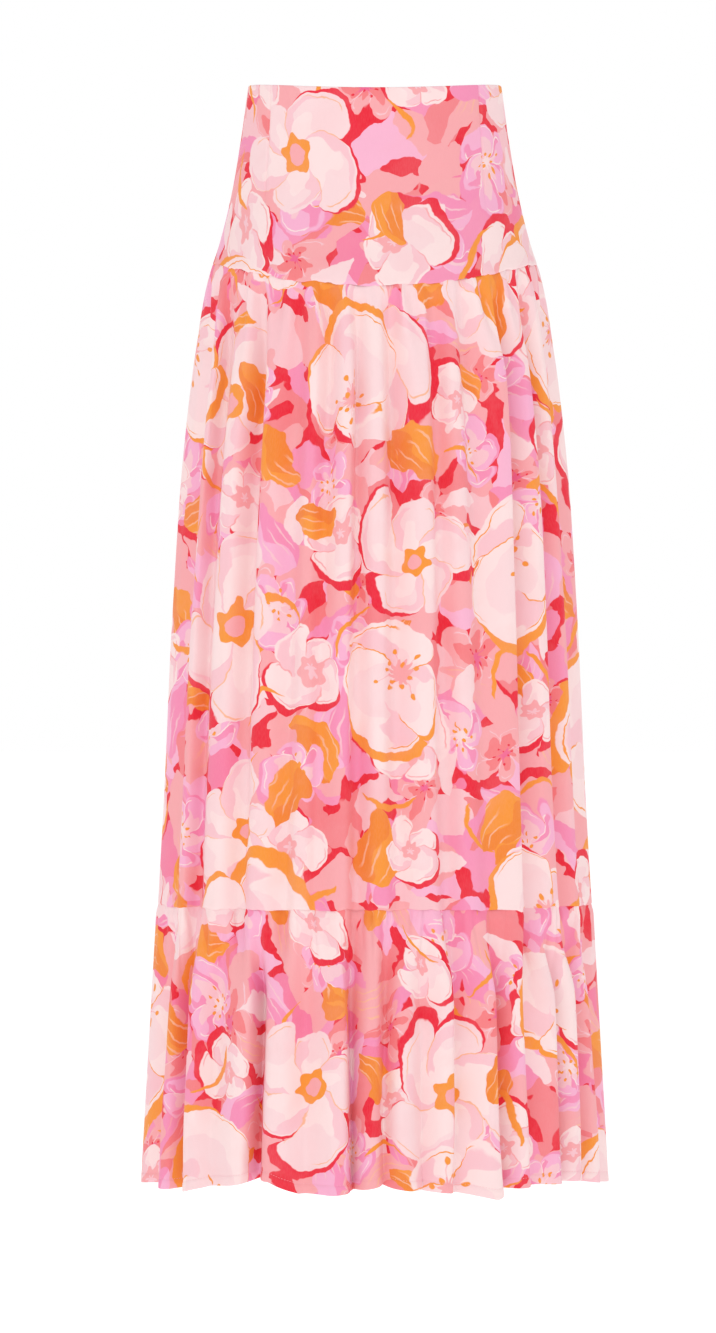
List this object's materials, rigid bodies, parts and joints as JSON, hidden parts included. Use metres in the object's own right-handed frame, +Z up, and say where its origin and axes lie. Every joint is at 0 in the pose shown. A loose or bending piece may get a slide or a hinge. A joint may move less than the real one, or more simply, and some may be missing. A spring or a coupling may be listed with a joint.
{
  "type": "maxi skirt",
  "caption": "Ankle-length skirt with a fitted high-waist hip yoke and two gathered tiers, held open as worn, with a zip at centre back.",
  "frame": {"origin": "centre of the waist opening, level with the top edge at the sides and back", "axes": "+Z up, +Y to the back of the skirt, +X to the wearer's left; the front faces -Y"},
  "size_m": [0.44, 0.3783, 1.0401],
  "materials": {
    "yoke_front": "light plain-weave viscose or cotton with a flower print, soft and nearly matte",
    "yoke_back_left": "light plain-weave viscose or cotton with a flower print, soft and nearly matte",
    "yoke_back_right": "light plain-weave viscose or cotton with a flower print, soft and nearly matte",
    "tier_upper_front": "light plain-weave viscose or cotton with a flower print, soft and nearly matte",
    "tier_upper_back": "light plain-weave viscose or cotton with a flower print, soft and nearly matte",
    "tier_lower_front": "light plain-weave viscose or cotton with a flower print, soft and nearly matte",
    "tier_lower_back": "light plain-weave viscose or cotton with a flower print, soft and nearly matte",
    "zip_tape": "woven polyester tape",
    "zip_slider": "satin paint, dyed to the cloth's colour",
    "zip_pull": "satin paint, dyed to the cloth's colour"
  },
  "bodies": {
    "skirt": {"yoke_front": "yoke_front", "yoke_back_left": "yoke_back_left", "yoke_back_right": "yoke_back_right", "tier_upper_front": "tier_upper_front", "tier_upper_back": "tier_upper_back", "tier_lower_front": "tier_lower_front", "tier_lower_back": "tier_lower_back", "zip_tape": "zip_tape", "zip_slider": "zip_slider"},
    "zip_pull": {"zip_pull": "zip_pull"}
  },
  "joints": [
    {"name": "zip_pull_hinge", "type": "hinge", "parent": "skirt", "child": "zip_pull", "pos_m": [0, 0.0897, -0.00967], "axis": [1, 0, 0], "range_deg": [0, 150]}
  ]
}
